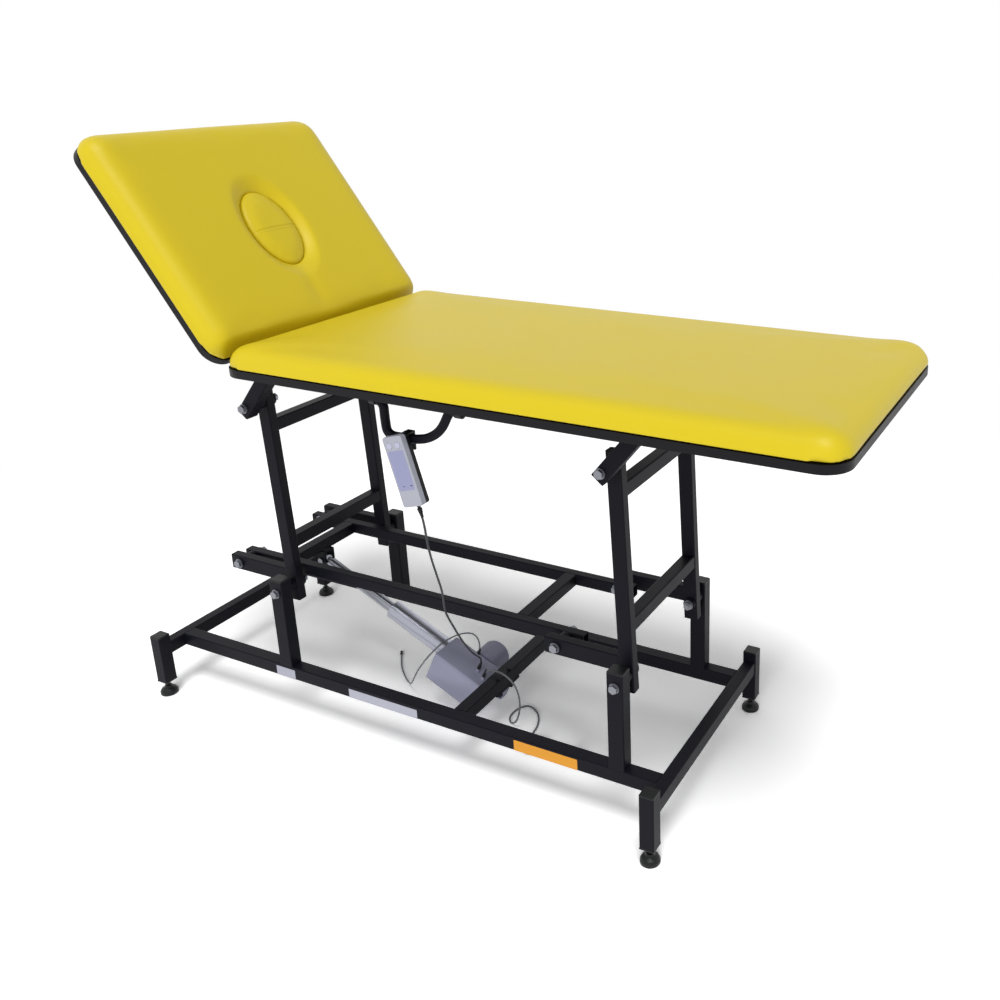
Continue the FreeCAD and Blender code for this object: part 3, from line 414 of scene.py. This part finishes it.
def makeTie(wound, angleDegrees):
    angle = math.radians(angleDegrees)
    out = Vector((math.cos(angle), math.sin(angle), 0))
    along = Vector((-math.sin(angle), math.cos(angle), 0))
    centre = Vector((wound["centre"][0], wound["centre"][1], 0)) + out * wound["radii"][1]
    half, low, high, bend = 8.1, 0.4, 16.5, 2.4
    corners = ((half - bend, high - bend, 0), (bend - half, high - bend, 90),
               (bend - half, low + bend, 180), (half - bend, low + bend, 270))
    loop = []
    for cx, cz, first in corners:
        for k in range(7):
            a = math.radians(first + 15 * k)
            loop.append((cx + bend * math.cos(a), cz + bend * math.sin(a)))
    build = bmesh.new()
    rings = []
    for r, z in loop:
        normal = Vector((r, z - (low + high) / 2)).normalized()
        ring = []
        for side, grow in ((-2.2, 0.3), (2.2, 0.3), (2.2, -0.3), (-2.2, -0.3)):
            spot = centre + out * (r + normal.x * grow) + along * side + Vector((0, 0, z + normal.y * grow))
            ring.append(build.verts.new(spot * mm))
        rings.append(ring)
    for k in range(len(rings)):
        a, b = rings[k], rings[(k + 1) % len(rings)]
        for j in range(4):
            build.faces.new((a[j], b[j], b[(j + 1) % 4], a[(j + 1) % 4]))
    bmesh.ops.recalc_face_normals(build, faces=build.faces)
    mesh = bpy.data.meshes.new("coilTie")
    build.to_mesh(mesh)
    build.free()
    mesh.materials.append(blackPlastic)
    return link("coilTie", mesh)


def makeCords():
    points = [place(p) for p in handCord["points"]]
    cord, line = tubeAndPath(cordCurve("handControlCord", points, handCord["diameter"] * mm, sheathDark))
    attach(cord, "lift_body")
    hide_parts("hand_control_cord")
    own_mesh(cord)
    upper = makeSleeve("handSleeve", handExit, handWay, "hand_control", 20.0, 5.4, 3.4, 4)
    lower = makeSleeve("handGlandSleeve", handCord["points"][-1], topWay, "lift_body", 22.0, 4.9, 3.3, 4)

    centre = mainsCord["centre"]
    over = [(centre[0] + x, centre[1] + y, z) for x, y, z in mainsCord["over"]]
    points = [place(p) for p in mainsCord["points"] + coilPoints(mainsCord) + over]
    cord = cordCurve("mainsCord", points, mainsCord["diameter"] * mm, sheathGrey)
    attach(cord, "base")
    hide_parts("mains_cord", "mains_coil")
    pieces = makePlug(centre[0] + 63.0, centre[1])
    for piece in pieces:
        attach(piece, "base")
    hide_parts("mains_plug")
    tie = makeTie(mainsCord, 60.0)
    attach(tie, "base")
    sleeve = makeSleeve("mainsGlandSleeve", mainsCord["points"][0], topWay, "lift_body", 24.0, 4.5, 3.2, 4)

    points = [place(p) for p in spareLead["points"]]
    lead = cordCurve("spareLead", points, spareLead["diameter"] * mm, sheathGrey)
    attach(lead, "lift_body")
    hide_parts("spare_lead")
    way = (points[-1] - points[-2]).normalized()
    profile = [(-0.4, 2.4), (0.6, 3.6), (5.0, 3.6), (5.4, 3.1), (6.6, 3.1), (7.0, 3.6), (14.6, 3.6), (15.6, 3.0),
               (15.6, 1.6)]
    plug = turned(profile, blackPlastic, "leadConnector", spareLead["points"][-1], way)
    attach(plug, "lift_body")
    sleeve = makeSleeve("leadGlandSleeve", spareLead["points"][0], topWay, "lift_body", 16.0, 4.0, 2.6, 3)


makeCords()
note("cords")


# Release loop as one smooth bend

loopTube = {
    "diameter": 20.0,
    "points": [
        (-95, -302, 955), (-64, -302, 955), (-64, -302, 914), (-61, -302, 878), (-18, -302, 878),
        (8, -302, 878), (48, -302, 886), (82, -302, 910), (103, -302, 950), (112, -302, 955), (138, -302, 955),
    ],
}
loopPoints = [place(p) for p in loopTube["points"]]
loopBend = cordCurve("releaseLoopBend", loopPoints, loopTube["diameter"] * mm, powderCoat)
loopBend.data.resolution_u = 12
loopBend.data.bevel_resolution = 8
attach(loopBend, "loop")
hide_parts("release_loop")
note("loop")


# Padded pieces, simulated flat and then raised with the backrest

hinge = Vector((-0.504, 0.0, 0.955))
backTurn = Matrix.Rotation(math.radians(53.0), 4, "Y")
faceCentre = -0.804
faceHalf = (0.106, 0.07)
pads = {
    "seatPad": {"node": "seat_cushion", "body": "top_frame", "voxel": 0.01, "rise": 0.004, "soften": 8,
                "swell": 0.0035},
    "backPad": {"node": "backrest_cushion", "body": "backrest", "voxel": 0.007, "rise": 0.002, "soften": 18,
                "swell": 0.0035},
    "facePlugPad": {"node": "face_plug", "body": "plug", "voxel": 0.004, "rise": 0.002, "soften": 2,
                    "swell": 0.0},
}
padCloth = {  # the cover under light pressure, held along its lower edge
    "settings": {"quality": 5, "mass": 0.4, "tension_stiffness": 40, "compression_stiffness": 40,
                 "shear_stiffness": 20, "bending_stiffness": 8, "use_pressure": True,
                 "uniform_pressure_force": 4.0},
    "steps": 20,
    "held": 0.004,
}
padSoft = {  # metres up from the lower edge, and out from the hinge, the middle line and the face hole
    "rounds": 4, "factor": 0.5, "held": 0.004, "freeOver": 0.02, "swellFrom": 0.02, "swellOver": 0.03,
    "hingeClear": 0.02, "hingeOver": 0.04, "edgeFrom": 0.25, "pastFace": 0.08,
}
faceDip = {  # metres: how the cover is drawn down round the plug, and how the plug is domed and seamed
    "reach": 0.085, "top": 0.03, "fallOver": 0.038, "fall": 0.01, "domeOver": 0.05, "dome": 0.006,
    "seamOff": 0.006, "seamWide": 0.0016, "seam": 0.0014, "drop": 0.0105,
}


def turnedBack(mesh, sign):
    spot = Matrix.Translation(hinge)
    turn = backTurn if sign > 0 else backTurn.inverted()
    mesh.transform(spot @ turn @ spot.inverted())


def useModifier(obj, kind, **settings):
    modifier = obj.modifiers.new(kind.lower(), kind)
    for name, value in settings.items():
        setattr(modifier, name, value)
    return modifier


def applyAll(obj):
    graph = bpy.context.evaluated_depsgraph_get()
    mesh = bpy.data.meshes.new_from_object(obj.evaluated_get(graph), depsgraph=graph)
    old = obj.data
    obj.modifiers.clear()
    obj.data = mesh
    bpy.data.meshes.remove(old)


def pointsOf(mesh):
    values = np.empty(len(mesh.vertices) * 3)
    mesh.vertices.foreach_get("co", values)
    return values.reshape(-1, 3)


def setPoints(mesh, values):
    mesh.vertices.foreach_set("co", values.ravel())
    mesh.update()


def inflate(obj, wanted):
    before = pointsOf(obj.data)
    low = before[:, 2].min()
    pinned = obj.vertex_groups.new(name="pinned")
    pinned.add([int(k) for k in np.nonzero(before[:, 2] < low + padCloth["held"])[0]], 1.0, "REPLACE")
    cloth = useModifier(obj, "CLOTH")
    sim = cloth.settings
    for key, value in padCloth["settings"].items():
        setattr(sim, key, value)
    sim.effector_weights.gravity = 0.0
    sim.vertex_group_mass = "pinned"
    cloth.collision_settings.use_collision = False
    for step in range(1, padCloth["steps"] + 1):
        bpy.context.scene.frame_set(step)
    applyAll(obj)
    bpy.context.scene.frame_set(1)
    move = pointsOf(obj.data) - before
    length = np.linalg.norm(move, axis=1)
    scale = np.minimum(1.0, wanted["rise"] / np.maximum(length, 1e-9))
    setPoints(obj.data, before + move * scale[:, None])
    print(obj.name, "moved up to mm", round(float(length.max()) * 1000, 2))


def soften(obj, wanted):
    values = pointsOf(obj.data)
    low = values[:, 2].min()
    free = obj.vertex_groups.new(name="free")
    for k, weight in enumerate(np.clip((values[:, 2] - low - padSoft["held"]) / padSoft["freeOver"], 0, 1)):
        if weight > 0:
            free.add([k], float(weight), "REPLACE")
    useModifier(obj, "SMOOTH", iterations=padSoft["rounds"], factor=padSoft["factor"])
    useModifier(obj, "SMOOTH", iterations=wanted["soften"], factor=padSoft["factor"], vertex_group="free")
    applyAll(obj)
    if wanted["swell"]:
        values = pointsOf(obj.data)
        facing = np.empty(len(values) * 3)
        obj.data.vertices.foreach_get("normal", facing)
        facing = facing.reshape(-1, 3)
        level = 1 - np.clip((values[:, 2] - low - padSoft["swellFrom"]) / padSoft["swellOver"], 0, 1)
        clear = np.clip((np.abs(values[:, 0] - hinge.x) - padSoft["hingeClear"]) / padSoft["hingeOver"], 0, 1)
        around = np.maximum(np.abs(values[:, 1]) - padSoft["edgeFrom"],
                            np.abs(values[:, 0] - faceCentre) - padSoft["pastFace"]) > 0
        values[:, :2] += facing[:, :2] * (wanted["swell"] * level * clear * around)[:, None]
        setPoints(obj.data, values)


def dipAtFace(obj, wanted):
    values = pointsOf(obj.data)
    dx = (values[:, 0] - faceCentre) / faceHalf[0]
    dy = values[:, 1] / faceHalf[1]
    away = (np.sqrt(dx * dx + dy * dy) - 1.0) * faceDip["reach"]
    high = values[:, 2].max()
    top = np.clip((values[:, 2] - (high - faceDip["top"])) / faceDip["top"], 0, 1)
    if wanted["body"] == "backrest":
        fall = np.clip(1 - away / faceDip["fallOver"], 0, 1)
        values[:, 2] -= faceDip["fall"] * fall * fall * (3 - 2 * fall) * top
    else:
        dome = np.clip(-away / faceDip["domeOver"], 0, 1)
        seam = np.exp(-((values[:, 0] - faceCentre - faceDip["seamOff"]) / faceDip["seamWide"]) ** 2)
        values[:, 2] -= (faceDip["drop"] - faceDip["dome"] * dome * (2 - dome) + faceDip["seam"] * seam) * top
    setPoints(obj.data, values)


def repeated(name, template, spots, material, size=1.0):  # size 1 keeps the template's own millimetres
    mesh = bpy.data.meshes.new(name)
    mesh.from_pydata([tuple(spot) for spot in spots], [], [])
    holder = link(name, mesh)
    group = bpy.data.node_groups.new(name, "GeometryNodeTree")
    for way in ("INPUT", "OUTPUT"):
        group.interface.new_socket("Geometry", in_out=way, socket_type="NodeSocketGeometry")
    sizeKey = group.interface.new_socket("Size", in_out="INPUT", socket_type="NodeSocketFloat").identifier
    source = addNode(group, "NodeGroupInput")
    info = addNode(group, "GeometryNodeObjectInfo", Object=template)
    copies = addNode(group, "GeometryNodeInstanceOnPoints", Points=source.outputs["Geometry"],
                     Instance=info.outputs["Geometry"], Scale=source.outputs["Size"])
    solid = addNode(group, "GeometryNodeRealizeInstances", Geometry=copies.outputs["Instances"])
    painted = addNode(group, "GeometryNodeSetMaterial", Geometry=solid.outputs[0], Material=material)
    addNode(group, "NodeGroupOutput", Geometry=painted.outputs[0])
    modifier = useModifier(holder, "NODES", node_group=group)
    modifier[sizeKey] = size
    applyAll(holder)
    bpy.data.objects.remove(template)
    return holder


screwHead = [(-0.3, 4.3), (0.5, 4.4), (1.5, 4.0), (2.3, 3.1), (2.6, 2.3), (2.6, 1.9), (1.2, 1.8)]
screwRows = {
    "seatScrews": {"body": "top_frame", "xs": (-380, -60, 180, 620, 820), "y": 220, "z": 933.0},
    "backScrews": {"body": "backrest", "xs": (-570, -740, -930), "y": 180, "z": 942.5},
}


def makeScrews(name):
    wanted = screwRows[name]
    raised = wanted["body"] == "backrest"
    spin = Matrix.Translation(hinge) @ backTurn @ Matrix.Translation(-hinge) if raised else Matrix.Identity(4)
    down = spin.to_3x3() @ Vector((0, 0, -1))
    template = turned(screwHead, zincPlate, name + "Template", (0, 0, 0), down, 24)
    spots = [spin @ place((x, side * wanted["y"], wanted["z"])) for x in wanted["xs"] for side in (-1, 1)]
    made = repeated(name, template, spots, zincPlate)
    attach(made, wanted["body"])


stitches = {
    "rows": (0.0105, 0.0015),  # metres toward the foot end from the plug's centre
    "eachWay": 13,
    "pitch": 0.0042,
    "proud": 0.0001,
    "above": 1.2,  # height from which a row is dropped onto the cover
    "thread": [(-1.5, 0.12), (-1.2, 0.42), (1.2, 0.42), (1.5, 0.12)],
}


def makeStitches(pad):
    turn = Matrix.Translation(hinge) @ backTurn @ Matrix.Translation(-hinge)
    up = turn.to_3x3() @ Vector((0, 0, 1))
    template = turned(stitches["thread"], stitchThread, "stitchTemplate", (0, 0, 0), (0, 1, 0), 8)
    spots = []
    for row in stitches["rows"]:
        for step in range(-stitches["eachWay"], stitches["eachWay"] + 1):
            start = turn @ Vector((faceCentre + row, step * stitches["pitch"], stitches["above"]))
            hit, spot, normal, index = pad.ray_cast(start, -up)
            if hit:
                spots.append(spot + up * stitches["proud"])
    made = repeated("plugStitches", template, spots, stitchThread)
    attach(made, "plug")


def makePad(name):
    wanted = pads[name]
    source = nodes[wanted["node"]]
    mesh = source.data.copy()
    mesh.transform(source.matrix_world)
    obj = link(name, mesh)
    back = wanted["body"] != "top_frame"
    if back:
        turnedBack(mesh, -1)
    useModifier(obj, "REMESH", mode="VOXEL", voxel_size=wanted["voxel"])
    applyAll(obj)
    obj.data.materials.clear()
    obj.data.materials.append(vinylYellow)
    inflate(obj, wanted)
    soften(obj, wanted)
    useModifier(obj, "SUBSURF", levels=1, render_levels=1)
    applyAll(obj)
    if back:
        dipAtFace(obj, wanted)
        turnedBack(obj.data, 1)
    for face in obj.data.polygons:
        face.use_smooth = True
    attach(obj, wanted["body"])
    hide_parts(wanted["node"])
    return obj


finished = {name: makePad(name) for name in pads}
bpy.context.view_layer.update()
makeStitches(finished["facePlugPad"])
for name in screwRows:
    makeScrews(name)
note("padded pieces, stitches and screws")


# Bare plates on the frame and the film on the hand control

def plate(name, low, high, material, body, corner=1.0, bevel=0.25):
    build = bmesh.new()
    bmesh.ops.create_cube(build, size=1.0)
    size = [high[k] - low[k] for k in range(3)]
    middle = [(high[k] + low[k]) / 2 for k in range(3)]
    stretch = Matrix.Diagonal((size[0] * mm, size[1] * mm, size[2] * mm, 1))
    build.transform(Matrix.Translation(place(middle)) @ stretch)
    upright = [e for e in build.edges if abs((e.verts[0].co - e.verts[1].co).y) > 1e-7]
    bmesh.ops.bevel(build, geom=upright, offset=corner * mm, segments=4, affect="EDGES", profile=0.5)
    front = [e for e in build.edges if all(v.co.y < (low[1] + 0.01) * mm for v in e.verts)]
    bmesh.ops.bevel(build, geom=front, offset=bevel * mm, segments=2, affect="EDGES", profile=0.5)
    bmesh.ops.recalc_face_normals(build, faces=build.faces)
    mesh = bpy.data.meshes.new(name)
    build.to_mesh(mesh)
    build.free()
    mesh.materials.append(material)
    made = link(name, mesh)
    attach(made, body)
    return made


railFace = -237.5
plates = {
    "railPlatePale": {"low": (-563, railFace - 0.3, 117), "high": (-500, railFace - 0.02, 144),
                      "material": plateWhite, "slot": "grey_plastic", "corner": 1.5, "bevel": 0.1},
    "railPlateSilver": {"low": (-322, railFace - 0.6, 117), "high": (-111, railFace - 0.02, 141.5),
                        "material": plateSilver, "slot": "zinc", "corner": 1.0, "bevel": 0.25},
    "railPlateOrange": {"low": (166, railFace - 0.3, 117), "high": (334, railFace - 0.02, 145),
                        "material": plateOrange, "slot": "upholstery", "corner": 2.0, "bevel": 0.1},
}
for name, wanted in plates.items():
    plate(name, wanted["low"], wanted["high"], wanted["material"], "base", wanted["corner"],
          wanted["bevel"])

handFace = -340.0
handLeaned = Matrix.Translation(place((handTop[0], 0, handTop[1]))) @ Matrix.Rotation(-handLean, 4, "Y")
handPieces = {
    "handFilm": {"low": (-21, handFace - 0.3, -118), "high": (21, handFace - 0.02, -31),
                 "material": panelFilm, "corner": 3.0, "bevel": 0.1},
    "handLensNear": {"low": (-8, handFace - 0.6, -110), "high": (-4.5, handFace - 0.25, -107.5),
                     "material": lensPlastic, "corner": 0.8, "bevel": 0.1},
    "handLensFar": {"low": (11, handFace - 0.6, -110), "high": (17, handFace - 0.25, -107.5),
                    "material": lensPlastic, "corner": 0.8, "bevel": 0.1},
}
for name, wanted in handPieces.items():
    piece = plate(name, wanted["low"], wanted["high"], wanted["material"], "hand_control",
                  wanted["corner"], wanted["bevel"])
    piece.data.transform(handLeaned)
plate("handHookTab", (-15.5, -291, 849), (0.5, -287, 873), blackPlastic, "hand_control",
      2.5, 0.6)
note("plates")


# Floor, backdrop and lights

lighting = {
    "sky": 0.4,
    "suns": {
        "topSun": {"energy": 1.35, "way": (-0.2, 0.31, -0.93), "spread": 22.0, "glossy": True},
        "frontSun": {"energy": 1.45, "way": (-0.15, 0.9, -0.36), "spread": 30.0, "glossy": False},
    },
    "floor": 0.92,
    "floorSeen": 1.4,
    "fade": (1.6, 3.0),
}


def seenDirectly(tree):  # 1 where the camera, a reflection or a clear piece sees the surface itself
    path = addNode(tree, "ShaderNodeLightPath")
    both = addNode(tree, "ShaderNodeMath", {"operation": "MAXIMUM"})
    tree.links.new(path.outputs["Is Camera Ray"], both.inputs[0])
    tree.links.new(path.outputs["Is Glossy Ray"], both.inputs[1])
    every = addNode(tree, "ShaderNodeMath", {"operation": "MAXIMUM"})
    tree.links.new(both.outputs[0], every.inputs[0])
    tree.links.new(path.outputs["Is Transmission Ray"], every.inputs[1])
    return every.outputs[0]


def makeStage():
    bpy.ops.mesh.primitive_plane_add(size=40.0)
    floor = bpy.context.object
    floor.name = "floor"
    material = bpy.data.materials.new("plainFloor")
    material.use_nodes = True
    tree = material.node_tree
    shader = tree.nodes["Principled BSDF"]
    shade = addNode(tree, "ShaderNodeMix", {"data_type": "RGBA"})
    for slot, pale in ((6, lighting["floor"]), (7, lighting["floorSeen"])):
        shade.inputs[slot].default_value = (pale, pale, pale, 1)
    direct = seenDirectly(tree)
    tree.links.new(direct, shade.inputs[0])
    tree.links.new(shade.outputs[2], shader.inputs["Base Color"])
    shader.inputs["Roughness"].default_value = 0.9
    shader.inputs["Specular IOR Level"].default_value = 0.0
    where = addNode(tree, "ShaderNodeTexCoord")
    away = addNode(tree, "ShaderNodeVectorMath", {"operation": "LENGTH"}, Vector=where.outputs["Object"])
    fade = addNode(tree, "ShaderNodeMapRange", {"interpolation_type": "SMOOTHSTEP"},
                   Value=away.outputs["Value"], From_Min=lighting["fade"][0], From_Max=lighting["fade"][1])
    part = addNode(tree, "ShaderNodeMath", {"operation": "MULTIPLY"})
    tree.links.new(fade.outputs["Result"], part.inputs[0])
    tree.links.new(direct, part.inputs[1])
    white = addNode(tree, "ShaderNodeEmission", Color=(1, 1, 1, 1), Strength=1.0)
    mixed = addNode(tree, "ShaderNodeMixShader", Fac=part.outputs[0])
    tree.links.new(shader.outputs[0], mixed.inputs[1])
    tree.links.new(white.outputs[0], mixed.inputs[2])
    tree.links.new(mixed.outputs[0], tree.nodes["Material Output"].inputs["Surface"])
    floor.data.materials.append(material)

    world = bpy.data.worlds.new("room")
    bpy.context.scene.world = world
    world.use_nodes = True
    tree = world.node_tree
    sky = tree.nodes["Background"]
    sky.inputs["Color"].default_value = (1, 1, 1, 1)
    sky.inputs["Strength"].default_value = lighting["sky"]
    backdrop = addNode(tree, "ShaderNodeBackground", Color=(1, 1, 1, 1), Strength=1.0)
    mixed = addNode(tree, "ShaderNodeMixShader", Fac=seenDirectly(tree))
    tree.links.new(sky.outputs[0], mixed.inputs[1])
    tree.links.new(backdrop.outputs[0], mixed.inputs[2])
    tree.links.new(mixed.outputs[0], tree.nodes["World Output"].inputs["Surface"])

    for name, wanted in lighting["suns"].items():
        lamp = bpy.data.lights.new(name, "SUN")
        lamp.energy = wanted["energy"]
        lamp.angle = math.radians(wanted["spread"])
        made = link(name, lamp)
        made.rotation_mode = "QUATERNION"
        made.rotation_quaternion = Vector(wanted["way"]).to_track_quat("-Z", "Y")
        made.visible_glossy = wanted["glossy"]


makeStage()
view = bpy.context.scene.view_settings
view.view_transform = "Standard"
view.look = "None"
view.exposure = 0.0
note("floor, backdrop and lights")
